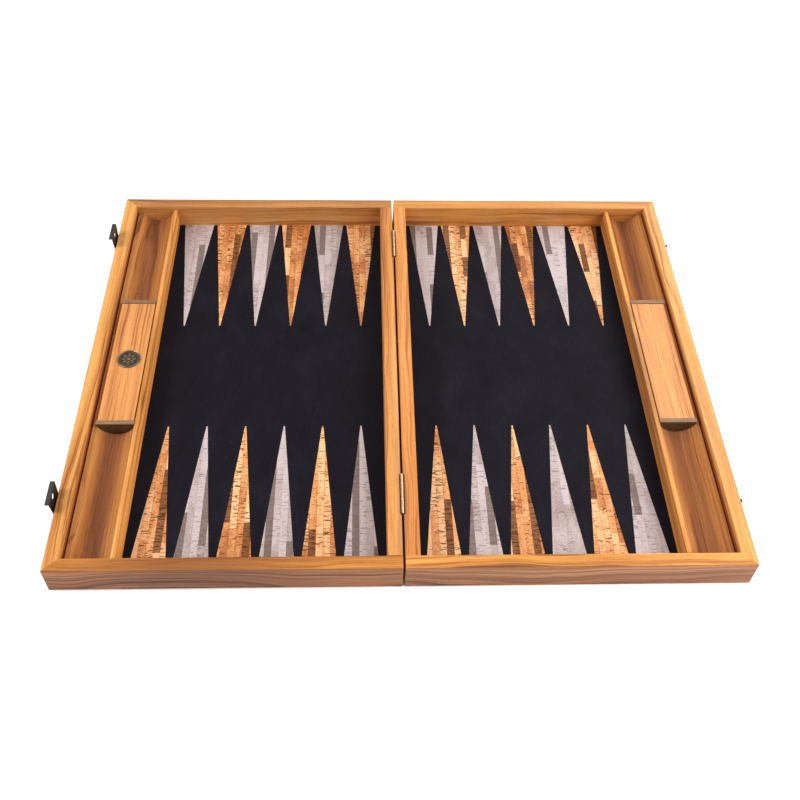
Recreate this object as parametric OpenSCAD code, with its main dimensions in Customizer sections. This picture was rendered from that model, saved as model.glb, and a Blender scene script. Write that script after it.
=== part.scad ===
// Folding wooden backgammon board, lying open.
// Two half frames are joined by two brass butt hinges. Each half holds an inlaid
// playing field and a checker rack, and a half-round dice box with a lift-off lid sits in
// the rack's channel. Two hasps on the left half close over studs on the right half.
// X runs across the open board, Y away from the player and Z up. The origin is on the
// resting plane, in the middle of the fold.

/* [Board] */
// Width of the open board, across both halves
board_w = 600; // [560:5:700]
// Depth of the board, from front to back
board_d = 480; // [460:5:520]
// Height of a half
half_h = 30; // [29:1:36]
// Thickness of the frame rails
rail_t = 13; // [12:0.5:15]
// Chamfer along the rails' edges
edge = 0.5; // [0.3:0.1:1]
// Gap between the halves, which the hinge leaves fill
seam_gap = 2; // [2:0.1:3]
// Thickness of the base panels
base_t = 2.4; // [2:0.1:3]
// Width of the rebate that holds a base panel
rebate_w = 6; // [4:0.5:8]

/* [Playing field] */
// Thickness of the field veneer and of the points let into it
veneer_t = 0.6; // [0.5:0.1:1]
// Points in each row of a half
points = 6; // [6:1:6]
// Width of a point at its base
point_w = 33; // [30:0.1:34]
// Gap between two points at their bases
point_gap = 3.8; // [2:0.1:3.8]
// Length of a point
point_l = 160; // [130:1:190]
// Width of a point's blunt tip
tip_w = 1.2; // [0.8:0.1:3]

/* [Checker rack] */
// Width of the rack
rack_w = 43.4; // [43:0.1:48]
// Height of the rack's top above the resting plane
rack_top = 25; // [24:0.5:27]
// Gap between the rack and the outer rail
rack_gap = 1.2; // [0.4:0.1:2]
// Width of the rack's divider, beside the field
divider_w = 4.1; // [3.8:0.1:6]
// Radius of the rack's channel
channel_r = 18.5; // [18:0.1:18.5]
// Height of the channel's axis above the rack's top
channel_lift = 4.3; // [3.5:0.1:5]
// How far the rack's outer lip is below the rack's top
lip_drop = 4; // [1:0.5:4.5]

/* [Dice box] */
// Length of the box over its end plates
box_l = 164; // [120:1:200]
// Clearance between the box and the channel
box_fit = 0.3; // [0.2:0.1:0.6]
// Wall thickness of the box's half-round shell
shell_t = 2; // [1.6:0.1:2.2]
// Thickness of an end plate
end_t = 4.6; // [3:0.1:6]
// How far the end plates stand above the lid
end_proud = 0.8; // [0.2:0.1:1.5]
// Thickness of the lid
lid_t = 2.5; // [2:0.1:3]
// Depth of the lid's locating rib
rib_t = 0.8; // [0.4:0.1:1]
// Extra gap along the lid's two long edges
lid_fit = 0.8; // [0.1:0.1:1]
// Edge length of a die
die_w = 8; // [6:0.5:8]
// Diameter of the medallion on the left lid
medal_d = 23; // [14:1:26]
// Thickness of the medallion
medal_t = 1; // [0.6:0.1:1.5]
// Distance of the medallion's middle from the lid's centre line, towards the fold
medal_off = 1.2; // [0:0.1:2]

/* [Hinges] */
// Distance of each hinge's middle from the board's middle
hinge_y = 165; // [120:1:180]
// Length of a hinge
hinge_l = 42; // [35:1:60]
// Height of the pin's axis above the rails' tops
axis_lift = 0.1; // [0.05:0.05:0.3]
// Outside radius of a knuckle
knuckle_r = 1.6; // [1.5:0.1:2]
// Radius of the hinge pin
pin_r = 0.8; // [0.7:0.1:0.9]
// Height of a leaf below the pin's axis
leaf_h = 14; // [12:0.5:20]

/* [Latches] */
// Distance of each latch's middle from the board's middle
latch_y = 170; // [140:1:190]
// Width of a latch at its pivot
latch_w = 21; // [18:1:24]
// Width of a hasp at its top
hasp_w = 25; // [24:1:28]
// Height of a hasp's pivot above the resting plane
pivot_z = 23; // [21:0.5:24]
// Height of the hasp's top above the resting plane
hasp_top = 42; // [41.5:0.5:46]
// Depth of the lip at the hasp's top
lip_d = 3.3; // [2:0.1:5]
// Thickness of the latch's sheet metal
sheet_t = 0.8; // [0.6:0.1:1]
// Radius of the stud that a hasp closes over
stud_r = 2; // [1.5:0.1:2.2]
// Height of a stud above the resting plane
stud_z = 23; // [21:0.5:23.5]
// How far a stud reaches from the outer rail
stud_l = 4; // [3:0.1:5]

/* [Hidden] */

$fn = 64;
tiny = 0.01;

wood = [0.80, 0.55, 0.32];
dark_wood = [0.42, 0.33, 0.26];
felt = [0.12, 0.12, 0.15];
cork = [0.86, 0.56, 0.28];
grey_cork = [0.68, 0.65, 0.66];
brass = [0.83, 0.68, 0.42];
bronze = [0.25, 0.23, 0.21];
ivory = [0.93, 0.90, 0.82];

out_x = board_w / 2;
out_y = board_d / 2;
in_x = seam_gap / 2;
hinge_face = in_x + rail_t;
outer_face = out_x - rail_t;
end_face = out_y - rail_t;
base_top = base_t;

rack_out = outer_face - rack_gap;
rack_in = rack_out - rack_w;
rack_end_gap = 0.2;
channel_z = rack_top + channel_lift;
channel_half = sqrt(pow(channel_r, 2) - pow(channel_lift, 2));
channel_x = rack_in + divider_w + channel_half;

field_w = rack_in - hinge_face;
point_pitch = point_w + point_gap;
first_point = hinge_face + (field_w - (points - 1) * point_pitch) / 2;

box_r = channel_r - box_fit;
lid_top = rack_top;
rim_z = lid_top - lid_t;
shell_l = box_l - 2 * end_t;
lid_end_gap = 0.2;
rib_gap = 0.4;
rib_half = sqrt(pow(box_r - shell_t, 2) - pow(channel_z - rim_z + rib_t, 2)) - rib_gap;
rib_inset = 6;
die_edge = die_w * 0.075;
die_z = channel_z - sqrt(pow(box_r - shell_t, 2) - pow(die_w / 2 - die_edge, 2));
dice_y = [-64, -50];

axis_z = half_h + axis_lift;
knuckles = 5;
knuckle_gap = 0.15;
knuckle_l = hinge_l / knuckles;
knuckle_clear = 0.7;
leaf_gap = 0.05;
run_fit = 0.05;
hinge_screws = 3;
hinge_screw_z = 20.5;
hinge_screw_r = 0.9;
hinge_head_r = 1.7;
hinge_screw_l = 9;

pivot_r = 1.2;
pivot_x = out_x + pivot_r + 0.1;
latch_pin_r = 0.6;
latch_third = floor(latch_w * 10 / 3) / 10;
latch_knuckle = latch_third - 0.2;
plate_bottom = pivot_z - 12;
hole_r = stud_r + 0.7;
hole_z = 2 * axis_z - stud_z;
nail_r = 0.7;
nail_head_r = 1.5;
nail_head_t = 0.6;
nail_l = 8;
plate_nail_z = pivot_z - 8;
plate_nail_y = 7.2;
keeper_w = 16;
keeper_h = 9;
keeper_t = 0.7;
keeper_nail_y = 5.6;

// ---- placing ----

// The left half is the right half turned half a turn about the origin.
module left_half() {
    rotate([0, 0, 180])
        children();
}

// Puts a copy at the front and at the back, each y away from the middle.
module front_and_back(y) {
    for (side = [-1, 1])
        translate([0, side * y, 0])
            children();
}

// ---- frame ----

// A box over a half's outline, drawn in by a along X, by b along Y and by c along Z.
module half_box(a, b, c) {
    translate([in_x + a, b - out_y, c])
        cube([out_x - in_x - 2 * a, 2 * (out_y - b), half_h - 2 * c]);
}

// The outside of a half, with all its edges chamfered.
module half_block() {
    hull() {
        half_box(edge, edge, 0);
        half_box(edge, 0, edge);
        half_box(0, edge, edge);
    }
}

// A slab over the opening between the rails, wider than it by w all round, its underside at z.
module opening_slab(w, z) {
    translate([hinge_face - w, -end_face - w, z])
        cube([outer_face - hinge_face + 2 * w, 2 * (end_face + w), 1]);
}

// A rail of the half's block within an outline, rebated for the base panel and chamfered
// along the opening's top edge.
module rail(outline) {
    difference() {
        intersection() {
            half_block();
            linear_extrude(half_h)
                polygon(outline);
        }
        panel_block();
        hull() {
            opening_slab(-1, half_h - edge - 2);
            opening_slab(edge + 1, half_h + 1);
        }
    }
}

// Mitred at the outer end, and running right up to the fold.
module front_rail() {
    color(wood)
        rail([[in_x, -out_y], [out_x, -out_y], [outer_face, -end_face], [in_x, -end_face]]);
}

module back_rail() {
    color(wood)
        mirror([0, 1, 0])
            front_rail();
}

// The outer rail, drilled for the nails of whatever is fixed to its face.
module outer_rail(nail_y, nail_z) {
    color(wood)
        difference() {
            rail([
                [out_x, -out_y], [out_x, out_y], [outer_face, end_face], [outer_face, -end_face]
            ]);
            side_nails(nail_y, nail_z, nail_r);
        }
}

// The rail beside the fold, between the front and back rails, with a recess for each hinge's
// barrel and its screws' holes.
module hinge_rail() {
    color(wood)
        difference() {
            rail([
                [in_x, -end_face], [hinge_face, -end_face], [hinge_face, end_face], [in_x, end_face]
            ]);
            front_and_back(hinge_y)
                translate([0, 0, axis_z])
                    rotate([90, 0, 0])
                        cylinder(r = knuckle_r + knuckle_clear, h = hinge_l + 1, center = true);
            hinge_screw_shanks(in_x - tiny);
        }
}

module panel_block() {
    translate([hinge_face - rebate_w, -end_face - rebate_w, 0])
        cube([outer_face - hinge_face + 2 * rebate_w, 2 * (end_face + rebate_w), base_t]);
}

module base_panel() {
    color(dark_wood)
        panel_block();
}

// ---- playing field ----

// One point, base against the front rail, centred on x.
module point_outline(x) {
    polygon([
        [x - point_w / 2, -end_face], [x + point_w / 2, -end_face],
        [x + tip_w / 2, point_l - end_face], [x - tip_w / 2, point_l - end_face]
    ]);
}

// Every second point of each row. first = 0 starts at the fold in the front row.
module point_set(first) {
    for (i = [0 : points - 1])
        if (i % 2 == first)
            point_outline(first_point + i * point_pitch);
        else
            mirror([0, 1, 0])
                point_outline(first_point + i * point_pitch);
}

module points_layer(first, tint) {
    color(tint)
        translate([0, 0, base_top])
            linear_extrude(veneer_t)
                point_set(first);
}

module field() {
    color(felt)
        translate([0, 0, base_top])
            linear_extrude(veneer_t)
                difference() {
                    translate([hinge_face, -end_face])
                        square([field_w, 2 * end_face]);
                    point_set(0);
                    point_set(1);
                }
}

// ---- checker rack ----

// The channel's outer lip is lower than the divider beside the field.
module rack() {
    length = 2 * (end_face - rack_end_gap);
    top = rack_top - base_top;
    color(wood)
        rotate([90, 0, 0])
            linear_extrude(length, center = true)
                difference() {
                    translate([rack_in, base_top])
                        polygon([
                            [0, 0], [rack_w, 0], [rack_w, top],
                            [edge, top], [0, top - edge]
                        ]);
                    translate([channel_x, channel_z])
                        circle(channel_r, $fn = 128);
                    translate([channel_x, rack_top - lip_drop])
                        square([rack_w, channel_lift + lip_drop]);
                }
}

// ---- dice box ----

// Lays a section that is drawn about the channel's axis along Y.
module in_channel(length) {
    translate([channel_x, 0, channel_z])
        rotate([90, 0, 0])
            linear_extrude(length, center = true)
                children();
}

// A round section between two heights.
module round_section(r, bottom, top) {
    intersection() {
        circle(r, $fn = 128);
        translate([-r, bottom - channel_z])
            square([2 * r, top - bottom]);
    }
}

module box_shell() {
    color(wood)
        in_channel(shell_l)
            difference() {
                round_section(box_r, 0, rim_z);
                circle(box_r - shell_t, $fn = 128);
            }
}

module box_ends() {
    color(dark_wood)
        front_and_back((box_l - end_t) / 2)
            in_channel(end_t)
                round_section(box_r, 0, lid_top + end_proud);
}

module box_lid() {
    color(wood) {
        in_channel(shell_l - 2 * lid_end_gap)
            round_section(box_r - lid_fit, rim_z, lid_top);
        translate([channel_x - rib_half, rib_inset - shell_l / 2, rim_z - rib_t])
            cube([2 * rib_half, shell_l - 2 * rib_inset, rib_t + tiny]);
    }
}

// A cube with chamfered edges, standing on z = 0.
module die() {
    w = die_w / 2;
    c = w - die_edge;
    hull() {
        translate([-c, -c, 0])
            cube([2 * c, 2 * c, die_w]);
        translate([-w, -c, die_edge])
            cube([2 * w, 2 * c, 2 * c]);
        translate([-c, -w, die_edge])
            cube([2 * c, 2 * w, 2 * c]);
    }
}

module dice() {
    color(ivory)
        for (y = dice_y)
            translate([channel_x, y, die_z])
                die();
}

// A plain badge: a raised rim, a ring and eight round petals.
module badge() {
    rim = medal_d / 2;
    petals = 8;
    color(bronze)
        translate([medal_off - channel_x, 0, lid_top]) {
            cylinder(r = rim, h = medal_t * 0.6);
            difference() {
                cylinder(r = rim, h = medal_t);
                translate([0, 0, medal_t * 0.6])
                    cylinder(r = rim - 1.4, h = medal_t);
            }
            for (i = [0 : petals - 1])
                rotate([0, 0, i * 360 / petals])
                    translate([rim * 0.52, 0, 0])
                        cylinder(r = rim * 0.16, h = medal_t * 0.85);
            cylinder(r = rim * 0.25, h = medal_t);
        }
}

// ---- hinges ----

// Stretches of barrel along Y: the even ones belong to the right leaf.
module barrel(first, r, shorter) {
    for (i = [first : 2 : knuckles - 1])
        translate([0, (i + 0.5) * knuckle_l - hinge_l / 2, axis_z])
            rotate([90, 0, 0])
                cylinder(r = r, h = knuckle_l - shorter, center = true);
}

// One leaf on the right of the fold, with its own knuckles rolled round the pin.
module hinge_leaf(first, bore_r) {
    plate_top = axis_z - knuckle_r - knuckle_clear;
    difference() {
        union() {
            translate([leaf_gap, -hinge_l / 2, axis_z - leaf_h])
                cube([in_x - leaf_gap, hinge_l, plate_top - axis_z + leaf_h]);
            for (i = [first : 2 : knuckles - 1])
                translate([leaf_gap, i * knuckle_l - hinge_l / 2 + knuckle_gap / 2, plate_top - 1])
                    cube([in_x - leaf_gap, knuckle_l - knuckle_gap, axis_z - plate_top + 1]);
            barrel(first, knuckle_r, knuckle_gap);
        }
        translate([0, 0, axis_z])
            rotate([90, 0, 0])
                cylinder(r = bore_r, h = hinge_l + 2, center = true);
        for (i = [0 : hinge_screws - 1])
            translate([leaf_gap, hinge_screw_y(i), hinge_screw_z])
                rotate([0, 90, 0])
                    countersink();
    }
}

function hinge_screw_y(i) = (i - (hinge_screws - 1) / 2) * hinge_l / hinge_screws;

// The conical seat of a hinge screw, wide end at z = 0.
module countersink() {
    cylinder(r1 = hinge_head_r, r2 = hinge_screw_r, h = in_x - leaf_gap);
}

module hinge_screw_shanks(x) {
    front_and_back(hinge_y)
        for (i = [0 : hinge_screws - 1])
            translate([x, hinge_screw_y(i), hinge_screw_z])
                rotate([0, 90, 0])
                    cylinder(r = hinge_screw_r, h = hinge_screw_l);
}

module hinge_screw_set() {
    color(brass) {
        hinge_screw_shanks(in_x - tiny);
        front_and_back(hinge_y)
            for (i = [0 : hinge_screws - 1])
                translate([leaf_gap, hinge_screw_y(i), hinge_screw_z])
                    rotate([0, 90, 0])
                        countersink();
    }
}

module right_leaves() {
    color(brass)
        front_and_back(hinge_y)
            hinge_leaf(0, pin_r);
}

module left_leaves() {
    color(brass)
        left_half()
            front_and_back(hinge_y)
                hinge_leaf(1, pin_r + run_fit);
}

module pins() {
    color(brass)
        front_and_back(hinge_y)
            translate([0, 0, axis_z])
                rotate([90, 0, 0])
                    cylinder(r = pin_r, h = hinge_l, center = true);
}

// ---- latches ----

// Nails driven into an outer rail's face, four in all.
module side_nails(y, z, r) {
    for (side = [-1, 1], pair = [-1, 1])
        translate([out_x - nail_l, side * latch_y + pair * y, z])
            rotate([0, 90, 0])
                cylinder(r = r, h = nail_l + tiny);
}

// A nail's flat head, or the seat for it, let into a plate of thickness t so that a hasp clears it.
module nail_head(t) {
    translate([0, 0, t - nail_head_t])
        cylinder(r1 = nail_r, r2 = nail_head_r, h = nail_head_t);
}

// The same nails with their heads, through a plate of thickness t.
module nail_set(y, z, t) {
    color(bronze)
        for (side = [-1, 1], pair = [-1, 1])
            translate([out_x, side * latch_y + pair * y, z])
                rotate([0, 90, 0]) {
                    translate([0, 0, -nail_l])
                        cylinder(r = nail_r, h = nail_l + t - nail_head_t / 2);
                    nail_head(t);
                }
}

// The holes for a plate's two nails.
module plate_nail_holes(y, z, t) {
    for (pair = [-1, 1])
        translate([out_x, pair * y, z])
            rotate([0, 90, 0]) {
                translate([0, 0, -1])
                    cylinder(r = nail_r, h = t + 2);
                nail_head(t);
            }
}

// The fixed plate, drawn on the right outer face, with two knuckles below the hasp's own.
module latch_plate() {
    difference() {
        union() {
            translate([out_x, -latch_w / 2, plate_bottom])
                cube([sheet_t, latch_w, pivot_z - plate_bottom - pivot_r - 0.3]);
            for (side = [-1, 1])
                translate([out_x, side * latch_third - latch_knuckle / 2, pivot_z - pivot_r - 1])
                    cube([sheet_t, latch_knuckle, pivot_r + 1]);
            pivot_barrel([-1, 1]);
        }
        pivot_bore(latch_pin_r);
        plate_nail_holes(plate_nail_y, plate_nail_z, sheet_t);
    }
}

// Knuckles of the latch, one third of its width each, at the given thirds.
module pivot_barrel(thirds) {
    for (k = thirds)
        translate([pivot_x, k * latch_third, pivot_z])
            rotate([90, 0, 0])
                cylinder(r = pivot_r, h = latch_knuckle, center = true);
}

module pivot_bore(r) {
    translate([pivot_x, 0, pivot_z])
        rotate([90, 0, 0])
            cylinder(r = r, h = latch_w + 2, center = true);
}

// The hasp, standing up from its pivot and widening to its top, with a hole for the stud and
// a lip to lift it by.
module hasp() {
    face = pivot_x - sheet_t / 2;
    foot = pivot_z + pivot_r + 0.3;
    lip_z = hasp_top - sheet_t;
    color(bronze)
        difference() {
            union() {
                translate([face, 0, 0])
                    rotate([90, 0, 90])
                        linear_extrude(sheet_t)
                            polygon([
                                [-latch_w / 2, foot], [latch_w / 2, foot],
                                [hasp_w / 2, lip_z], [hasp_w / 2, hasp_top],
                                [-hasp_w / 2, hasp_top], [-hasp_w / 2, lip_z]
                            ]);
                translate([face, -latch_knuckle / 2, pivot_z])
                    cube([sheet_t, latch_knuckle, foot - pivot_z + 1]);
                translate([face, -hasp_w / 2, lip_z])
                    cube([sheet_t + lip_d, hasp_w, sheet_t]);
                pivot_barrel([0]);
            }
            pivot_bore(latch_pin_r + run_fit);
            translate([face - 1, 0, hole_z])
                rotate([0, 90, 0])
                    cylinder(r = hole_r, h = sheet_t + 2);
        }
}

module latch_pin() {
    translate([pivot_x, 0, pivot_z])
        rotate([90, 0, 0])
            cylinder(r = latch_pin_r, h = latch_w, center = true);
}

// The stud's plate and its round-headed stud, on the right outer face.
module keeper() {
    difference() {
        translate([out_x, -keeper_w / 2, stud_z - keeper_h / 2])
            cube([keeper_t, keeper_w, keeper_h]);
        plate_nail_holes(keeper_nail_y, stud_z, keeper_t);
    }
    translate([out_x + keeper_t - tiny, 0, stud_z])
        rotate([0, 90, 0]) {
            cylinder(r = stud_r * 0.8, h = stud_l - keeper_t);
            translate([0, 0, stud_l - keeper_t - 1.4])
                cylinder(r1 = stud_r, r2 = stud_r * 0.7, h = 1.4 + tiny);
        }
}

// ---- nodes ----

front_rail();  // right_front_rail
back_rail();  // right_back_rail
outer_rail(keeper_nail_y, stud_z);  // right_outer_rail
hinge_rail();  // right_hinge_rail
base_panel();  // right_base_panel
field();  // right_field
points_layer(0, cork);  // right_cork_points
points_layer(1, grey_cork);  // right_grey_points
rack();  // right_rack
right_leaves();  // right_hinge_leaves
hinge_screw_set();  // right_hinge_screws
pins();  // hinge_pins
color(bronze) front_and_back(latch_y) keeper();  // latch_keepers
nail_set(keeper_nail_y, stud_z, keeper_t);  // keeper_screws

left_half() back_rail();  // left_front_rail
left_half() front_rail();  // left_back_rail
left_half() outer_rail(plate_nail_y, plate_nail_z);  // left_outer_rail
left_half() hinge_rail();  // left_hinge_rail
left_half() base_panel();  // left_base_panel
left_half() field();  // left_field
left_half() points_layer(0, cork);  // left_cork_points
left_half() points_layer(1, grey_cork);  // left_grey_points
left_half() rack();  // left_rack
left_leaves();  // left_hinge_leaves
left_half() hinge_screw_set();  // left_hinge_screws

color(bronze) left_half() front_and_back(latch_y) latch_plate();  // latch_plates
color(bronze) left_half() front_and_back(latch_y) latch_pin();  // latch_pins
left_half() nail_set(plate_nail_y, plate_nail_z, sheet_t);  // latch_screws
translate([0, -latch_y, 0]) left_half() hasp();  // front_hasp
translate([0, latch_y, 0]) left_half() hasp();  // back_hasp

box_shell();  // right_box_shell
box_ends();  // right_box_ends
box_lid();  // right_box_lid
dice();  // right_dice
left_half() box_shell();  // left_box_shell
left_half() box_ends();  // left_box_ends
left_half() box_lid();  // left_box_lid
left_half() dice();  // left_dice
badge();  // medallion
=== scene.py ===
"""Looks for the folding backgammon board.

Wood, cork and metal materials, small detailed pieces, light and camera.
"""

import math

import bpy
from mathutils import Matrix, Vector


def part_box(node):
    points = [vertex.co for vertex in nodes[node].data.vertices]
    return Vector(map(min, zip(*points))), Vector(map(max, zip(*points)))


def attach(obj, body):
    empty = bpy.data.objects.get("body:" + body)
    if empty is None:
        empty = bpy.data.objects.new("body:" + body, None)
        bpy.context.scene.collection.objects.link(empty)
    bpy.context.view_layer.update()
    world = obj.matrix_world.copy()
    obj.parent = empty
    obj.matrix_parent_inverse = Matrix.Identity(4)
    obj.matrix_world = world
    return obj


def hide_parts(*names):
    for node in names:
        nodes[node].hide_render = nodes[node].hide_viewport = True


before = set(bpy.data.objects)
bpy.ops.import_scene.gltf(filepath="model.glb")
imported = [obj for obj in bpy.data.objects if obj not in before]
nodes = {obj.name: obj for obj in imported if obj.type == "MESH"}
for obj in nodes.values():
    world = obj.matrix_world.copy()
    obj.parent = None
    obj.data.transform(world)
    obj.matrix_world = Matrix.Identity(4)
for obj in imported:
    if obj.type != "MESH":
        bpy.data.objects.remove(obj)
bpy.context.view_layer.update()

MM = 0.001

# The board's own places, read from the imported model
rail_low, rail_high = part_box("right_outer_rail")
half_x, half_y = rail_high.x, rail_high.y
rail_width = rail_high.x - rail_low.x
rack_low, rack_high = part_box("right_rack")
lid_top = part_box("right_box_lid")[1].z


# ---- shader helper ----


class Graph:
    """A material under construction. Inputs are sockets or numbers, and most methods return a socket."""

    def __init__(self, name):
        self.material = bpy.data.materials.new(name)
        self.material.use_nodes = True
        self.tree = self.material.node_tree
        self.tree.nodes.clear()
        self.output = self.tree.nodes.new("ShaderNodeOutputMaterial")

    def put(self, socket, value):
        if isinstance(value, bpy.types.NodeSocket):
            self.tree.links.new(value, socket)
        elif value is not None:
            socket.default_value = value

    def add(self, kind, settings=(), **inputs):
        made = self.tree.nodes.new(kind)
        for key, value in dict(settings).items():
            setattr(made, key, value)
        for key, value in inputs.items():
            self.put(made.inputs[key.replace("_", " ")], value)
        return made

    def math(self, operation, a, b=None):
        made = self.add("ShaderNodeMath", {"operation": operation})
        for socket, value in zip(made.inputs, (a, b)):
            self.put(socket, value)
        return made.outputs[0]

    def plus(self, a, b):
        return self.math("ADD", a, b)

    def times(self, a, b):
        return self.math("MULTIPLY", a, b)

    def rest(self, share):
        """1 where the share is 0, and 0 where it is 1."""
        return self.math("SUBTRACT", 1.0, share)

    def over(self, value, low, high):
        """0 below low and 1 above high, smooth between."""
        made = self.add("ShaderNodeMapRange", {"interpolation_type": "SMOOTHSTEP"}, Value=value)
        made.inputs["From Min"].default_value = low
        made.inputs["From Max"].default_value = high
        return made.outputs[0]

    def mix(self, factor, a, b, blend="MIX"):
        made = self.add("ShaderNodeMix", {"data_type": "RGBA", "blend_type": blend})
        self.put(made.inputs["Factor"], factor)
        for socket, value in ((made.inputs[6], a), (made.inputs[7], b)):
            self.put(socket, (*value, 1) if isinstance(value, tuple) else value)
        return made.outputs[2]

    def place(self):
        """Where the shaded point is, in millimetres, as x, y and z."""
        coordinates = self.add("ShaderNodeTexCoord")
        scaled = self.add("ShaderNodeVectorMath", {"operation": "SCALE"})
        self.put(scaled.inputs[0], coordinates.outputs["Object"])
        scaled.inputs["Scale"].default_value = 1000
        return self.add("ShaderNodeSeparateXYZ", Vector=scaled.outputs[0]).outputs[:3]

    def point(self, x, y, z=0.0):
        return self.add("ShaderNodeCombineXYZ", X=x, Y=y, Z=z).outputs[0]

    def sized(self, spot, sizes, layer=0.0):
        """Where to read noise whose features have these sizes along the spot's two or three coordinates."""
        scaled = [self.times(value, 1 / size) for value, size in zip(spot, sizes)]
        return self.point(*scaled) if len(scaled) == 3 else self.point(*scaled, layer)

    def noise(self, vector, detail=2.0, roughness=0.5):
        made = self.add("ShaderNodeTexNoise", Vector=vector, Scale=1.0, Detail=detail, Roughness=roughness)
        return made.outputs[0]

    def around(self, value, reach):
        """A noise value, which is near 0.5, turned into one near 0 that is the reach times as wide."""
        return self.times(self.plus(value, -0.5), reach)

    def chance(self, x, y):
        """A number from 0 to 1 that is the same everywhere with the same x and y."""
        made = self.add("ShaderNodeTexWhiteNoise", {"noise_dimensions": "2D"}, Vector=self.point(x, y))
        return made.outputs[0]

    def ramp(self, value, stops):
        made = self.add("ShaderNodeValToRGB", Fac=value)
        elements = made.color_ramp.elements
        while len(elements) < len(stops):
            elements.new(0.5)
        for element, (position, colour) in zip(elements, stops):
            element.position = position
            element.color = (*colour, 1)
        return made.outputs[0]

    def bump(self, height, distance, strength):
        made = self.add("ShaderNodeBump", Height=height, Distance=distance, Strength=strength)
        return made.outputs[0]

    def surface(self, **inputs):
        shader = self.add("ShaderNodeBsdfPrincipled", **inputs)
        self.tree.links.new(shader.outputs[0], self.output.inputs["Surface"])
        return self.material


# ---- wood ----


def deeper(shades, by):
    """The same shades, each channel multiplied."""
    return tuple(tuple(c * k for c, k in zip(shade, by)) for shade in shades)


# Shades from light to deep, as linear colours
WARM = ((0.82, 0.385, 0.102), (0.68, 0.275, 0.060), (0.44, 0.148, 0.028), (0.18, 0.052, 0.012))
MAUVE = ((0.41, 0.170, 0.083), (0.285, 0.102, 0.045), (0.165, 0.054, 0.025), (0.062, 0.020, 0.0095))
PALE = ((0.62, 0.38, 0.22), (0.50, 0.29, 0.16), (0.38, 0.21, 0.11), (0.24, 0.12, 0.06))
STREAK = (0.22, 0.095, 0.055)
PORE = (0.12, 0.045, 0.02)
# Painted shade: the colour of the faces down in the deep gap between a rack and its rail
PAINTED_GAP_SHADE = (0.30, 0.075, 0.030)
CHANNEL_TINT = (0.76, 0.69, 0.70)

# The tones of those shades. Most wood is near the second.
TONES = (0.05, 0.36, 0.68, 1.0)

# How a piece was cut, in millimetres: how far the tree's heart is aside of the piece's middle and below it,
# and how far it wanders
STRAIGHT = {"aside": 30.0, "deep": 14.0, "wander": 9.0}
CATHEDRAL = {"aside": 11.0, "deep": 9.0, "wander": 22.0}
CHANNEL = {"aside": 14.0, "deep": 22.0, "wander": 9.0}
LID = {"aside": 36.0, "deep": 18.0, "wander": 9.0}
WAVY = {"aside": 24.0, "deep": 16.0, "wander": 30.0}


def grain_axes(g, node, along, seed):
    """Millimetres along the grain, shifted by the seed, and across it and up from the node's middle."""
    low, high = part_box(node)
    middle = (low + high) / 2 / MM
    x, y, z = g.place()
    run, across, centre = (x, y, middle.y) if along == "x" else (y, x, middle.x)
    return g.plus(run, seed * 731.0), g.plus(across, -centre), g.plus(z, -middle.z)


def heart_distance(g, run, across, up, cut, seed):
    """How far a point is from the tree's heart. Faces that cut its rings show straight or arched lines."""
    drift = g.noise(g.point(g.times(run, 1 / 140), seed * 3.7, 0.0), 2, 0.45)
    ripple = g.noise(g.sized((run, across, up), (40, 24, 24)), 2, 0.5)
    depth = g.plus(g.plus(up, cut["deep"]), g.around(drift, 2 * cut["wander"]))
    depth = g.plus(depth, g.times(ripple, 2.4))
    side = g.plus(across, cut["aside"])
    return g.math("SQRT", g.plus(g.times(side, side), g.times(depth, depth)))


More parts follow.
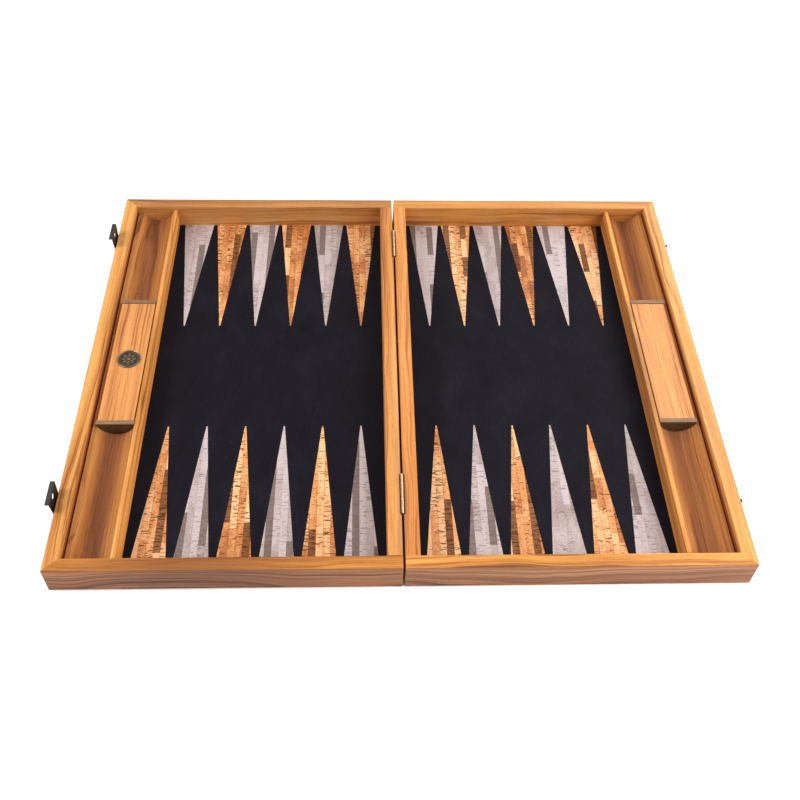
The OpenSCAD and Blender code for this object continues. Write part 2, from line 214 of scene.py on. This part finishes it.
def wood(
    name, node, along, seed, cut=STRAIGHT, shades=WARM, outside=None, streaks=0.4, ridges=0.30,
    contrast=1.9, channel=None, gap=None, gloss=1.0, dark=None,
):
    """Lacquered walnut, its grain along x or y.

    outside: the shades of the board's outer faces.
    streaks, ridges: how strong the mauve streaks and the thin dark growth lines are.
    contrast: how far the broad bands differ.
    channel: the tint of a rack's side beside the field. A rack's channel is darker than its top, above all
    along the middle.
    gap: makes the mask of the gap beside a rack, whose faces are painted dark brown there as painted shade.
    dark: where along the grain a painted shade falls, a darker stretch in place of a soft shadow, in
    millimetres, and its tint.
    """
    g = Graph(name)
    run, across, up = grain_axes(g, node, along, seed)
    heart = heart_distance(g, run, across, up, cut, seed)

    bands = g.noise(g.sized((heart, run), (7.0, 700), seed * 1.3), 4, 0.66)
    lines = g.noise(g.sized((heart, run), (2.1, 260), seed * 2.9), 2, 0.5)
    fibre = g.noise(g.sized((run, across, up), (60, 1.1, 1.1)), 3, 0.6)
    fine = g.noise(g.sized((run, across, up), (14, 0.32, 0.32)), 2, 0.6)
    cells = g.noise(g.sized((run, across, up), (5, 0.36, 0.36)), 1, 0.5)
    pores = g.over(cells, 0.62, 0.72)

    def tone_of(band_noise, line_noise, strength):
        tone = g.plus(TONES[1], g.around(band_noise, contrast))
        tone = g.plus(tone, g.around(fibre, 0.75))
        return g.plus(tone, g.times(g.over(line_noise, 0.57, 0.64), strength))

    def paint(value, stops):
        return g.ramp(value, list(zip(TONES, stops)))

    tone = tone_of(bands, lines, ridges)
    broad = g.noise(g.sized((heart, run), (12, 420), seed * 5.1), 2, 0.55)
    mauve = g.times(g.over(broad, 0.52, 0.68), streaks)
    if channel:
        middle = channel_middle(g, bands)
        tone = g.plus(tone, g.times(middle, 0.35))
        mauve = g.math("MAXIMUM", mauve, g.times(middle, 0.45))
    colour = g.mix(mauve, paint(tone, shades), STREAK)
    shine = 0.32 * gloss
    # Painted shade: a darker stretch along the grain, in place of the soft shadow along the rail's middle
    if dark:
        place, shade_tint = dark
        shade_stretch = painted_shade_stretch(g, along, place)
        colour = g.mix(shade_stretch, colour, shade_tint, "MULTIPLY")
    if outside:
        veneer = heart_distance(g, run, up, across, WAVY, seed + 0.5)
        outer_bands = g.noise(g.sized((veneer, run), (3.0, 700), seed * 2.3), 4, 0.66)
        outer_lines = g.noise(g.sized((veneer, run), (1.2, 260), seed * 3.9), 2, 0.5)
        outer = paint(g.plus(tone_of(outer_bands, outer_lines, 0.35), 0.06), outside)
        if dark:
            outer = g.mix(g.times(shade_stretch, 0.7), outer, shade_tint, "MULTIPLY")
        face = outer_faces(g)
        colour = g.mix(face, colour, outer)
        shine = g.plus(shine, g.times(face, -0.24))
    colour = g.mix(g.times(pores, 0.4), colour, PORE)
    grey = g.ramp(fine, [(0.3, (0.30, 0.30, 0.30)), (0.7, (0.70, 0.70, 0.70))])
    colour = g.mix(0.35, colour, grey, "SOFT_LIGHT")
    if channel:
        colour = g.mix(channel_faces(g), colour, CHANNEL_TINT, "MULTIPLY")
        colour = g.mix(field_side(g), colour, channel, "MULTIPLY")
    # Painted shade: the faces down in the gap beside a rack are painted dark brown
    if gap:
        colour = g.mix(gap(g), colour, PAINTED_GAP_SHADE)

    height = g.plus(g.times(fine, 0.5), g.times(g.rest(pores), 0.7))
    return g.surface(
        Base_Color=colour, Normal=g.bump(height, 0.00006, 0.5),
        Roughness=g.plus(0.62 - 0.28 * gloss, g.times(fibre, 0.2)),
        Specular_IOR_Level=shine, Coat_Weight=0.12 * gloss, Coat_Roughness=0.25,
    )


def outer_faces(g):
    """1 on the board's four vertical outer faces."""
    x, y, z = g.place()
    side = g.math("GREATER_THAN", g.math("ABSOLUTE", x), half_x / MM - 0.3)
    end = g.math("GREATER_THAN", g.math("ABSOLUTE", y), half_y / MM - 0.1)
    return g.math("MAXIMUM", side, end)


def painted_shade_stretch(g, along, place):
    """1 at a place along the grain, in millimetres, and 0 far from it: the mask of a painted shade, a soft
    darker stretch.
    """
    x, y, z = g.place()
    away = g.math("ABSOLUTE", g.plus(x if along == "x" else y, -place))
    return g.rest(g.over(away, 15.0, 125.0))


def rail_gap_face(g):
    """1 where an outer rail's inner face is hidden beside the rack, down in the gap that gets painted
    shade.
    """
    x, y, z = g.place()
    inner = g.math("LESS_THAN", g.math("ABSOLUTE", x), (half_x - rail_width) / MM + 0.1)
    return g.times(inner, g.math("LESS_THAN", z, rack_high.z / MM - 0.3))


def channel_faces(g):
    """1 in a rack's channel and on its low outer lip, 0 on its top and on the side beside the field."""
    x, y, z = g.place()
    below = g.math("LESS_THAN", z, rack_high.z / MM - 0.1)
    return g.times(below, g.math("GREATER_THAN", g.math("ABSOLUTE", x), rack_low.x / MM + 1.0))


def field_side(g):
    """1 on a rack's side beside the field."""
    x, y, z = g.place()
    return g.math("LESS_THAN", g.math("ABSOLUTE", x), rack_low.x / MM + 0.2)


def channel_middle(g, bands):
    """1 along the channel's middle and 0 at its sides, with a ragged border."""
    x, y, z = g.place()
    off = g.math("ABSOLUTE", g.plus(g.math("ABSOLUTE", x), 19.5 - rack_high.x / MM))
    off = g.plus(off, g.around(bands, 16.0))
    return g.rest(g.over(off, 4.0, 14.0))


def rack_gap_face(g):
    """1 on a rack's outer side, which faces the gap and gets painted shade."""
    x, y, z = g.place()
    return g.math("GREATER_THAN", g.math("ABSOLUTE", x), rack_high.x / MM - 0.1)


# ---- cork and field ----

STRIP_WIDTH = 6.4


def cork_strips(g, seed):
    """Numbers for the strip and the block that a point is in, and 1 on a seam between them."""
    x, y, z = g.place()
    strips = g.plus(g.times(x, 1 / STRIP_WIDTH), seed * 13.7)
    strip = g.math("FLOOR", strips)
    length = g.plus(30.0, g.times(g.chance(strip, 3.0), 60.0))
    blocks = g.plus(g.math("DIVIDE", y, length), g.times(g.chance(strip, 7.0), 9.0))
    block = g.plus(strip, g.times(g.math("FLOOR", blocks), 17.0))
    side = g.times(g.math("PINGPONG", strips, 0.5), STRIP_WIDTH)
    end = g.times(g.math("PINGPONG", blocks, 0.5), length)
    seam = g.rest(g.over(g.math("MINIMUM", side, end), 0.10, 0.45))
    return strip, block, seam


def cork_marks(g, strip, busy, seed):
    """The dark dashes that run across each strip of cork, and dots between them. Busy blocks have more."""
    x, y, z = g.place()
    own = g.plus(g.times(strip, 3.7), seed * 5.0)
    dash = g.noise(g.sized((x, y), (9, 1.35), own), 2, 0.55)
    limit = g.math("SUBTRACT", 0.66, g.times(busy, 0.13))
    dashes = g.over(g.math("SUBTRACT", dash, limit), 0.0, 0.035)
    dot = g.noise(g.sized((x, y), (1.8, 1.3), own), 2, 0.5)
    dots = g.over(dot, 0.63, 0.70)
    return g.math("MAXIMUM", dashes, g.times(dots, g.plus(0.4, g.times(busy, 0.55))))


def cork(name, seed, shades, bark, mark, marks_strength, bark_share, seams):
    """Cork veneer: strips laid side by side along y, cut into blocks of different tones."""
    g = Graph(name)
    x, y, z = g.place()
    strip, block, seam = cork_strips(g, seed)
    mood = g.chance(block, seed + 0.5)
    busy = g.chance(block, seed + 4.5)
    grain = g.noise(g.sized((x, y), (2.0, 1.3), seed), 4, 0.8)
    cloud = g.noise(g.sized((x, y), (10, 26), seed), 3, 0.55)
    # Whole points differ a little, too
    sheet = g.noise(g.sized((x, y), (36, 300), seed + 2.4), 0)

    tone = g.plus(g.times(mood, 0.55), g.around(cloud, 0.9))
    tone = g.plus(tone, g.around(sheet, 1.1))
    tone = g.plus(tone, g.around(grain, 1.7))
    colour = g.ramp(tone, list(zip((0.02, 0.32, 0.60, 0.95), shades)))
    # Only every third strip may be cut from bark, so that two never lie side by side
    third = g.math("LESS_THAN", g.math("MODULO", g.math("ABSOLUTE", strip), 3.0), 0.5)
    is_bark = g.times(third, g.math("LESS_THAN", g.chance(block, seed + 8.5), 3 * bark_share))
    colour = g.mix(g.times(is_bark, 0.85), colour, g.mix(g.over(grain, 0.36, 0.60), bark[0], bark[1]))
    marks = cork_marks(g, strip, g.math("MAXIMUM", busy, is_bark), seed)
    matt = g.math("MAXIMUM", marks, g.times(is_bark, 0.9))
    colour = g.mix(g.times(marks, marks_strength), colour, mark)
    colour = g.mix(g.times(seam, seams), colour, bark[0])

    height = g.math("SUBTRACT", g.times(grain, 0.4), g.plus(marks, g.times(seam, 0.6)))
    return g.surface(
        Base_Color=colour, Normal=g.bump(height, 0.00012, 0.6),
        Roughness=g.plus(0.42, g.times(grain, 0.2)),
        Specular_IOR_Level=g.math("SUBTRACT", 0.35, g.times(matt, 0.3)),
        Coat_Weight=0.06, Coat_Roughness=0.3,
    )


def natural_cork(name, seed):
    return cork(
        name, seed,
        ((0.82, 0.46, 0.22), (0.68, 0.287, 0.096), (0.45, 0.143, 0.035), (0.225, 0.064, 0.0175)),
        ((0.060, 0.021, 0.008), (0.19, 0.072, 0.026)), (0.080, 0.021, 0.007), 0.9, 0.14, 0.4,
    )


def grey_cork(name, seed):
    return cork(
        name, seed,
        ((0.51, 0.418, 0.408), (0.413, 0.322, 0.302), (0.288, 0.218, 0.195), (0.154, 0.113, 0.098)),
        ((0.080, 0.051, 0.041), (0.20, 0.138, 0.118)), (0.13, 0.090, 0.075), 0.6, 0.14, 0.12,
    )


def black_field(name):
    """Black stained veneer: fine grain along y, a faint haze and small pale specks."""
    g = Graph(name)
    x, y, z = g.place()
    grain = g.noise(g.sized((x, y), (0.7, 18)), 3, 0.6)
    haze = g.noise(g.sized((x, y), (38, 60)), 4, 0.6)
    specks = g.over(g.noise(g.sized((x, y), (1.1, 1.4)), 2, 0.5), 0.66, 0.74)
    colour = g.ramp(g.plus(g.times(haze, 0.5), g.times(grain, 0.5)), [
        (0.30, (0.0024, 0.0018, 0.0036)),
        (0.52, (0.0062, 0.0049, 0.0088)),
        (0.75, (0.0130, 0.0112, 0.0175)),
    ])
    colour = g.mix(g.times(specks, 0.3), colour, (0.10, 0.095, 0.11))
    return g.surface(
        Base_Color=colour, Normal=g.bump(grain, 0.00008, 0.4), Roughness=g.plus(0.55, g.times(grain, 0.15)),
        Specular_IOR_Level=0.10,
    )


# ---- metals and plastic ----


def brass(name, bright, dulled):
    """Satin brass, brushed along y and dulled in patches, with painted shade beside the hinges' middle
    line.
    """
    g = Graph(name)
    x, y, z = g.place()
    brushed = g.noise(g.sized((x, y, z), (0.15, 3.5, 0.15)), 2)
    dull = g.noise(g.sized((x, y, z), (4, 5, 4)), 3)
    patch = g.noise(g.point(0.0, g.times(y, 1 / 2.5)), 2)
    # Painted shade: away from the hinges' middle line, on the barrel's sides and down in the notch, the
    # brass is darkened towards brown, leaving a narrow bright line on top
    off = g.plus(g.math("ABSOLUTE", x), g.around(patch, 0.9))
    barrel_shade = g.over(off, 0.55, 1.15)
    colour = g.mix(g.over(dull, 0.4, 0.75), bright, dulled)
    colour = g.mix(g.times(barrel_shade, 0.85), colour, (0.17, 0.075, 0.030))
    return g.surface(
        Base_Color=colour, Metallic=1.0, Normal=g.bump(brushed, 0.00002, 0.4),
        Roughness=g.plus(0.24, g.times(dull, 0.25)),
    )


def dark_bronze(name):
    """Near-black antique bronze, its edges and high spots rubbed brighter."""
    g = Graph(name)
    x, y, z = g.place()
    mottle = g.noise(g.sized((x, y, z), (2.5, 2.5, 2.5)), 4, 0.6)
    pits = g.noise(g.sized((x, y, z), (0.4, 0.4, 0.4)), 2)
    worn = g.over(g.add("ShaderNodeNewGeometry").outputs["Pointiness"], 0.52, 0.6)
    colour = g.mix(mottle, (0.006, 0.0065, 0.006), (0.020, 0.021, 0.019))
    colour = g.mix(g.times(worn, 0.5), colour, (0.12, 0.115, 0.10))
    return g.surface(
        Base_Color=colour, Metallic=0.75, Normal=g.bump(pits, 0.00004, 0.5),
        Roughness=g.plus(0.36, g.times(mottle, 0.22)),
    )


def antique_bronze(name, ground, peak):
    """Bronze badge metal: dark up to the ground height, and rubbed bright from there to the peak height."""
    g = Graph(name)
    x, y, z = g.place()
    mottle = g.noise(g.sized((x, y, z), (1.4, 1.4, 1.4)), 4, 0.6)
    raised = g.over(g.plus(z, g.around(mottle, 0.25)), ground / MM, peak / MM)
    colour = g.mix(raised, (0.050, 0.036, 0.022), (0.29, 0.225, 0.145))
    return g.surface(
        Base_Color=colour, Metallic=0.85, Normal=g.bump(mottle, 0.00005, 0.4),
        Roughness=g.math("SUBTRACT", 0.5, g.times(raised, 0.18)),
    )


def ivory(name):
    g = Graph(name)
    x, y, z = g.place()
    cloud = g.noise(g.sized((x, y, z), (3, 3, 3)), 3)
    colour = g.mix(cloud, (0.86, 0.80, 0.66), (0.93, 0.89, 0.79))
    return g.surface(
        Base_Color=colour, Roughness=g.plus(0.16, g.times(cloud, 0.12)), Subsurface_Weight=0.1,
    )


def pip_black(name):
    g = Graph(name)
    x, y, z = g.place()
    dust = g.noise(g.point(x, y, z), 3)
    colour = g.mix(dust, (0.01, 0.01, 0.01), (0.03, 0.03, 0.03))
    return g.surface(Base_Color=colour, Roughness=g.plus(0.3, g.times(dust, 0.2)))


def end_wood(name, seed):
    """Dark end plates, paler and greyer along their top edge."""
    g = Graph(name)
    x, y, z = g.place()
    tall, low = 1.6, 0.35
    figure = g.noise(g.sized((x, y, g.plus(z, seed * tall)), (14, 1.2, tall)), 3, 0.6)
    fine = g.noise(g.sized((x, y, g.plus(z, seed * low)), (3, 0.4, low)), 2, 0.6)
    face = g.ramp(figure, [
        (0.3, (0.030, 0.017, 0.008)), (0.55, (0.075, 0.042, 0.018)), (0.8, (0.13, 0.075, 0.035)),
    ])
    edge = g.ramp(figure, [(0.3, (0.14, 0.072, 0.033)), (0.7, (0.30, 0.168, 0.080))])
    on_top = g.over(z, lid_top / MM + 0.1, lid_top / MM + 0.5)
    return g.surface(
        Base_Color=g.mix(on_top, face, edge), Normal=g.bump(fine, 0.00008, 0.5),
        Roughness=g.plus(0.38, g.times(figure, 0.2)),
    )


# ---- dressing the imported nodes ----


def dress(node, material):
    """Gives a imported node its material."""
    mesh = nodes[node].data
    mesh.materials.clear()
    mesh.materials.append(material)


def soften(node, width, segments=2):
    """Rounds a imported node's sharp edges by modifiers, which leave its mesh as it is."""
    piece = nodes[node]
    piece.modifiers.new("weld", "WELD").merge_threshold = 1e-6
    bevel = piece.modifiers.new("round", "BEVEL")
    bevel.width = width
    bevel.segments = segments
    bevel.limit_method = "ANGLE"
    bevel.angle_limit = math.radians(40)


def dress_half(side, seed, outside, tints, rack_side, dark):
    """Gives a half's wood, cork and field their materials, and softens the edges that are handled.

    tints are how much deeper than WARM the front, back, outer and hinge rails are, as painted light and
    shade:
    each rail is tinted to how brightly it is lit and how much sheen it shows. dark is the front rail's
    darker stretch, a painted shade.
    """
    rails = (("front", "x"), ("back", "x"), ("outer", "y"), ("hinge", "y"))
    for (place, along), tint in zip(rails, tints):
        seed += 1
        rail = f"{side}_{place}_rail"
        gap = rail_gap_face if place == "outer" else None
        own = dark if place == "front" else None
        # Painted light and shade: the rail's tint stands for how brightly it is lit and how much sheen it
        # shows
        shades = deeper(WARM, tint)
        dress(rail, wood(rail, rail, along, seed, shades=shades, outside=outside, gap=gap, dark=own))
    base, rack, shell, lid = (f"{side}_{part}" for part in ("base_panel", "rack", "box_shell", "box_lid"))
    dress(base, wood(base, base, "y", seed + 1, CATHEDRAL, PALE, streaks=0.2))
    softer = deeper(WARM, (0.95, 1.02, 1.25))
    dress(rack, wood(
        rack, rack, "y", seed + 2, CHANNEL, softer, streaks=0.6, channel=rack_side, gap=rack_gap_face,
        gloss=0.25,
    ))
    dress(shell, wood(shell, shell, "y", seed + 3, CHANNEL, gloss=0.5))
    paler = deeper(WARM, (0.90, 0.90, 1.15))
    dress(lid, wood(lid, lid, "y", seed + 4, LID, paler, streaks=0.08, contrast=0.95))
    dress(f"{side}_field", black_field(f"{side}_field"))
    dress(f"{side}_cork_points", natural_cork(f"{side}_cork", seed))
    dress(f"{side}_grey_points", grey_cork(f"{side}_grey", seed))
    dress(f"{side}_box_ends", end_wood(f"{side}_ends", seed + 5))
    soften(f"{side}_box_lid", 0.25 * MM)
    soften(f"{side}_box_ends", 0.4 * MM)
    soften(rack, 0.5 * MM)


def dress_metal():
    yellow = brass("brass", (0.86, 0.59, 0.38), (0.74, 0.48, 0.30))
    aged = brass("aged_brass", (0.50, 0.32, 0.18), (0.36, 0.22, 0.12))
    dark = dark_bronze("dark_bronze")
    for node in ("right_hinge_leaves", "left_hinge_leaves", "hinge_pins"):
        dress(node, yellow)
    for side in ("right", "left"):
        hinge_screws(side, aged)
    sheets = ("front_hasp", "back_hasp", "latch_plates")
    for node in ("latch_keepers", "keeper_screws", "latch_pins", "latch_screws", *sheets):
        dress(node, dark)
    for node in sheets:
        soften(node, 0.15 * MM)


# ---- detailed pieces ----


def mesh_piece(name, vertices, faces, materials, body, smooth=True):
    mesh = bpy.data.meshes.new(name)
    mesh.from_pydata(vertices, [], faces)
    for material in materials:
        mesh.materials.append(material)
    piece = bpy.data.objects.new(name, mesh)
    bpy.context.scene.collection.objects.link(piece)
    for face in mesh.polygons:
        face.use_smooth = smooth
    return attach(piece, body) or piece


def relief(radius, top, outline, rings, segments):
    """A round piece as vertices and faces: top(r, angle) is its upper surface, outline the rest of it."""
    vertices = [(0.0, 0.0, top(0.0, 0.0))]
    for i in range(1, rings + 1):
        r = radius * i / rings
        for j in range(segments):
            a = 2 * math.pi * j / segments
            vertices.append((r * math.cos(a), r * math.sin(a), top(r, a)))
    for r, z in outline:
        for j in range(segments):
            a = 2 * math.pi * j / segments
            vertices.append((r * math.cos(a), r * math.sin(a), z))
    faces = [(0, 1 + j, 1 + (j + 1) % segments) for j in range(segments)]
    for i in range(rings + len(outline) - 1):
        first = 1 + i * segments
        for j in range(segments):
            k = (j + 1) % segments
            faces.append((first + j, first + segments + j, first + segments + k, first + k))
    last = 1 + (rings + len(outline) - 1) * segments
    faces.append(tuple(last + j for j in reversed(range(segments))))
    return vertices, faces


def badge():
    """The round badge on the left lid: a rim, a ring of beads, a thin ring, eight petals and a boss."""
    low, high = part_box("medallion")
    centre = (low + high) / 2
    radius = (high.x - low.x) / 2
    thick = high.z - low.z
    # Where each ring begins, as a share of the radius
    rim, beads, thin_ring, boss = 0.9, 0.76, 0.7, 0.16
    bead_count, petal_count = 44, 8

    def hump(t, start, end):
        return math.sin(math.pi * (t - start) / (end - start))

    def share(t, a):
        """How high the badge is, as a share of its thickness."""
        if t > rim:
            return 0.55 + 0.45 * hump(t, rim, 1) ** 0.5 if t < 1 else 0.55
        if t > beads:
            return 0.5 + 0.32 * abs(math.cos(a * bead_count / 2)) * hump(t, beads, rim)
        if t > thin_ring:
            return 0.5 + 0.25 * hump(t, thin_ring, beads)
        if t < boss:
            return 0.55 + 0.4 * math.sqrt(1 - (t / boss) ** 2)
        petal = abs(math.cos(a * petal_count / 2)) ** 0.7 * hump(t, boss, thin_ring) ** 0.6
        vein = 0.1 * max(0.0, 1 - abs(math.sin(a * petal_count / 2)) * 9)
        return 0.46 + 0.4 * petal - vein * petal

    def top(r, a):
        return thick * share(r / radius, a)

    vertices, faces = relief(radius, top, [(radius, 0.0)], 64, 176)
    vertices = [(x + centre.x, y + centre.y, z + low.z) for x, y, z in vertices]
    metal = antique_bronze("antique_bronze", low.z + thick * 0.55, low.z + thick * 0.95)
    piece = mesh_piece("badge", vertices, faces, [metal], "left_lid")
    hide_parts("medallion")


def slotted_screw(radius, root, slot, sink, long, turn, sides=32):
    """A countersunk screw as vertices and faces, its head's face at x = 0 and its shank towards +x."""
    start = math.asin(slot / radius)
    spread = [start + (math.pi - 2 * start) * i / (sides // 2) for i in range(sides // 2 + 1)]
    low = radius - (radius - root) * 0.5
    end, foot = math.sqrt(radius ** 2 - slot ** 2), math.sqrt(low ** 2 - slot ** 2)
    points, faces = [], []
    for flip in (1, -1):
        first = len(points)
        points += [(0.0, flip * radius * math.cos(a), flip * radius * math.sin(a)) for a in spread]
        faces.append(tuple(range(first, len(points))))
        wall = len(points)
        points += [(0.0, flip * end, flip * slot), (0.0, -flip * end, flip * slot)]
        points += [(sink, -flip * foot, flip * slot), (sink, flip * foot, flip * slot)]
        faces.append((wall, wall + 1, wall + 2, wall + 3))
    floor_first = len(points)
    points += [(sink, foot, slot), (sink, -foot, slot), (sink, -foot, -slot), (sink, foot, -slot)]
    faces.append((floor_first, floor_first + 1, floor_first + 2, floor_first + 3))
    circle = [2 * math.pi * i / sides for i in range(sides)]
    cone, tip = 0.95 * MM, 0.0001 * MM
    for x, r in ((0.0, radius), (cone, root), (long, root), (long + root, tip)):
        points += [(x, r * math.cos(a), r * math.sin(a)) for a in circle]
    side = floor_first + 4
    for ring in range(3):
        for i in range(sides):
            a, b = side + ring * sides + i, side + ring * sides + (i + 1) % sides
            faces.append((a, b, b + sides, a + sides))
    c, s = math.cos(turn), math.sin(turn)
    return [(x, y * c - z * s, y * s + z * c) for x, y, z in points], faces


def hinge_screws(side, metal):
    """Three slotted screws in each leaf of a half, each slot at its own angle."""
    node = f"{side}_hinge_screws"
    low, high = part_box(node)
    leaf_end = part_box(f"{side}_hinge_leaves")[1].y
    seat = (high.z - low.z) / 2
    pitch = 2 * (leaf_end - high.y + seat)
    hinge_y = leaf_end - 1.5 * pitch
    outward = 1 if side == "right" else -1
    face = low.x if side == "right" else high.x
    long = high.x - low.x - seat
    head, root, slot, sink = seat - 0.12 * MM, 0.9 * MM, 0.25 * MM, 0.4 * MM
    vertices, faces = [], []
    for number, (end, step) in enumerate((end, step) for end in (-1, 1) for step in (-1, 0, 1)):
        turn = number * 1.9 + (side == "left")
        spots, quads = slotted_screw(head, root, slot, sink, long, turn)
        first = len(vertices)
        centre = (end * hinge_y + step * pitch, (low.z + high.z) / 2)
        vertices += [(face + outward * x, centre[0] + outward * y, centre[1] + z) for x, y, z in spots]
        faces += [tuple(first + n for n in quad) for quad in quads]
    piece = mesh_piece(f"{side}_screws", vertices, faces, [metal], f"{side}_half", smooth=False)
    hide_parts(node)


PIPS = {
    1: [(0, 0)],
    2: [(-1, -1), (1, 1)],
    3: [(-1, -1), (0, 0), (1, 1)],
    4: [(-1, -1), (-1, 1), (1, -1), (1, 1)],
    5: [(-1, -1), (-1, 1), (0, 0), (1, -1), (1, 1)],
    6: [(-1, -1), (-1, 0), (-1, 1), (1, -1), (1, 0), (1, 1)],
}


def pip_depth(u, v, count):
    """How deep a face with count pips is sunk at u, v, all in shares of the die's half width."""
    pip_radius, pitch, deepest = 0.17, 0.52, 0.11
    nearest = min(math.hypot(u - i * pitch, v - j * pitch) for i, j in PIPS[count])
    return deepest * math.sqrt(1 - (nearest / pip_radius) ** 2) if nearest < pip_radius else 0.0


def die_mesh(half, steps=40):
    """A die with rounded edges and sunk pips, centred on the origin, and which of its faces lie in pips."""
    corner = 0.22
    # Points gather towards the edges, where the surface bends
    widest = math.pi / 2 * 0.9
    spread = [math.sin((2 * i / steps - 1) * widest) / math.sin(widest) for i in range(steps + 1)]
    vertices, faces, in_pip = [], [], []
    # a and b run along a side and c away from it. The pips of opposite sides add up to seven.
    turns = ((0, 1, 2, 1), (1, 2, 0, 2), (2, 0, 1, 3))
    for a, b, c, sign, lower in ((*axes, sign, lower) for *axes, lower in turns for sign in (1, -1)):
        count = lower if sign > 0 else 7 - lower
        first = len(vertices)
        for i in range(steps + 1):
            for j in range(steps + 1):
                p = [0.0, 0.0, 0.0]
                p[a] = spread[i]
                p[b] = spread[j]
                p[c] = float(sign)
                inner = Vector([max(corner - 1, min(1 - corner, v)) for v in p])
                spot = inner + (Vector(p) - inner).normalized() * corner
                spot[c] -= sign * pip_depth(p[a], p[b], count)
                vertices.append(tuple(spot * half))
        for i in range(steps):
            for j in range(steps):
                k = first + i * (steps + 1) + j
                quad = (k, k + steps + 1, k + steps + 2, k + 1)
                faces.append(quad if sign > 0 else quad[::-1])
                u = sum(vertices[n][a] for n in quad) / 4 / half
                v = sum(vertices[n][b] for n in quad) / 4 / half
                in_pip.append(pip_depth(u, v, count) > 0)
    return vertices, faces, in_pip


def dice(side, materials):
    """The two dice in a box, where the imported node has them, each turned to another face."""
    node = f"{side}_dice"
    low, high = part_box(node)
    half = (high.x - low.x) / 2
    vertices, faces, in_pip = die_mesh(half)
    turns = (Matrix.Rotation(math.pi / 2, 3, "X"), Matrix.Rotation(math.pi / 2, 3, "Y"))
    for number, (turn, y) in enumerate(zip(turns, (low.y + half, high.y - half))):
        centre = Vector(((low.x + high.x) / 2, y, (low.z + high.z) / 2))
        spots = [tuple(turn @ Vector(v) + centre) for v in vertices]
        piece = mesh_piece(f"{side}_die_{number + 1}", spots, faces, materials, f"{side}_box")
        for face, dark in zip(piece.data.polygons, in_pip):
            face.material_index = 1 if dark else 0
    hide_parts(node)
    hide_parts(node)


badge()
# The two halves' tints are painted light and shade: each rail, outer face and rack side is tinted to how
# brightly it is lit and how much sheen it shows, and dark paints a soft shade along the front rail
dress_half(
    "right", 3,
    outside=deeper(MAUVE, (1.11, 1.29, 1.32)),
    tints=((1.0, 1.04, 0.98), (0.80, 0.80, 0.78), (1.0, 1.10, 1.25), (0.87, 0.79, 0.84)),
    rack_side=(0.85, 0.74, 0.66),
    dark=(120.0, (0.86, 0.83, 0.68)),
)
dress_half(
    "left", 23,
    outside=deeper(MAUVE, (1.02, 1.14, 1.06)),
    tints=((0.71, 0.64, 0.48), (0.72, 0.76, 0.95), (0.87, 0.88, 0.88), (0.88, 0.86, 0.96)),
    rack_side=(1.0, 0.88, 0.72),
    dark=(-170.0, (0.60, 0.56, 0.68)),
)
dress_metal()
dice_materials = [ivory("ivory"), pip_black("pip_black")]
for side in ("right", "left"):
    dice(side, dice_materials)


# ---- floor, light and camera ----


def floor():
    """A pale sheet that glows a little, so that the shadows on it stay light."""
    g = Graph("floor")
    x, y, z = g.place()
    cloud = g.noise(g.sized((x, y), (400, 400)), 2)
    # No glow where something stands within a few millimetres
    near = g.add("ShaderNodeAmbientOcclusion", {"samples": 8}, Distance=0.005)
    glow = g.over(near.outputs["AO"], 0.45, 0.9)
    paper = g.surface(
        Base_Color=g.mix(cloud, (0.86, 0.86, 0.86), (0.88, 0.88, 0.88)), Roughness=0.8,
        Specular_IOR_Level=0.1, Emission_Color=(1.0, 1.0, 1.0, 1.0), Emission_Strength=g.times(glow, 0.42),
    )
    reach = 6.0
    mesh = bpy.data.meshes.new("floor")
    corners = [(-reach, -reach, 0), (reach, -reach, 0), (reach, reach, 0), (-reach, reach, 0)]
    mesh.from_pydata(corners, [], [(0, 1, 2, 3)])
    mesh.materials.append(paper)
    piece = bpy.data.objects.new("floor", mesh)
    bpy.context.scene.collection.objects.link(piece)


def softbox(name, place, target, size, power):
    light = bpy.data.lights.new(name, "AREA")
    light.shape = "RECTANGLE"
    light.size, light.size_y = size
    light.energy = power
    lamp = bpy.data.objects.new(name, light)
    lamp.visible_camera = False
    lamp.location = place
    lamp.rotation_euler = (Vector(target) - Vector(place)).to_track_quat("-Z", "Y").to_euler()
    bpy.context.scene.collection.objects.link(lamp)


def studio():
    """Soft white light all round, and softboxes.

    Two are in front and behind on the right. A smaller one is on the left, and a weak one is near the right
    front corner.
    """
    world = bpy.data.worlds.new("studio")
    world.use_nodes = True
    world.node_tree.nodes["Background"].inputs["Color"].default_value = (1, 1, 1, 1)
    world.node_tree.nodes["Background"].inputs["Strength"].default_value = 0.56
    scene = bpy.context.scene
    scene.world = world
    scene.view_settings.view_transform = "Standard"
    softbox("key", (1.15, -0.35, 1.1), (0.1, 0, 0), (0.9, 0.9), 16)
    softbox("sheen", (0.75, 0.95, 1.05), (0.1, 0, 0), (0.9, 0.9), 6)
    softbox("left", (-1.35, -0.1, 1.25), (0, 0, 0), (0.6, 0.6), 20)
    softbox("corner", (0.78, -0.58, 0.36), (0.33, -0.24, 0.03), (0.3, 0.3), 2.6)


def camera():
    """The camera: 0.66 m in front of the fold and 0.76 m up, looking down by 50 degrees, 45 mm lens."""
    yaw, pitch, roll = math.radians(3.327), math.radians(50.10), math.radians(2.370)
    ahead = Vector((math.sin(yaw) * math.cos(pitch), math.cos(yaw) * math.cos(pitch), -math.sin(pitch)))
    level = Vector((math.cos(yaw), -math.sin(yaw), 0))
    right = math.cos(roll) * level + math.sin(roll) * level.cross(ahead)
    up = right.cross(ahead)
    data = bpy.data.cameras.new("camera")
    data.sensor_width = 36
    data.lens = 44.80
    piece = bpy.data.objects.new("camera", data)
    turn = Matrix((right, up, -ahead)).transposed().to_4x4()
    piece.matrix_world = Matrix.Translation((-0.0343, -0.6628, 0.7553)) @ turn
    bpy.context.scene.collection.objects.link(piece)
    bpy.context.scene.camera = piece


floor()
studio()
camera()
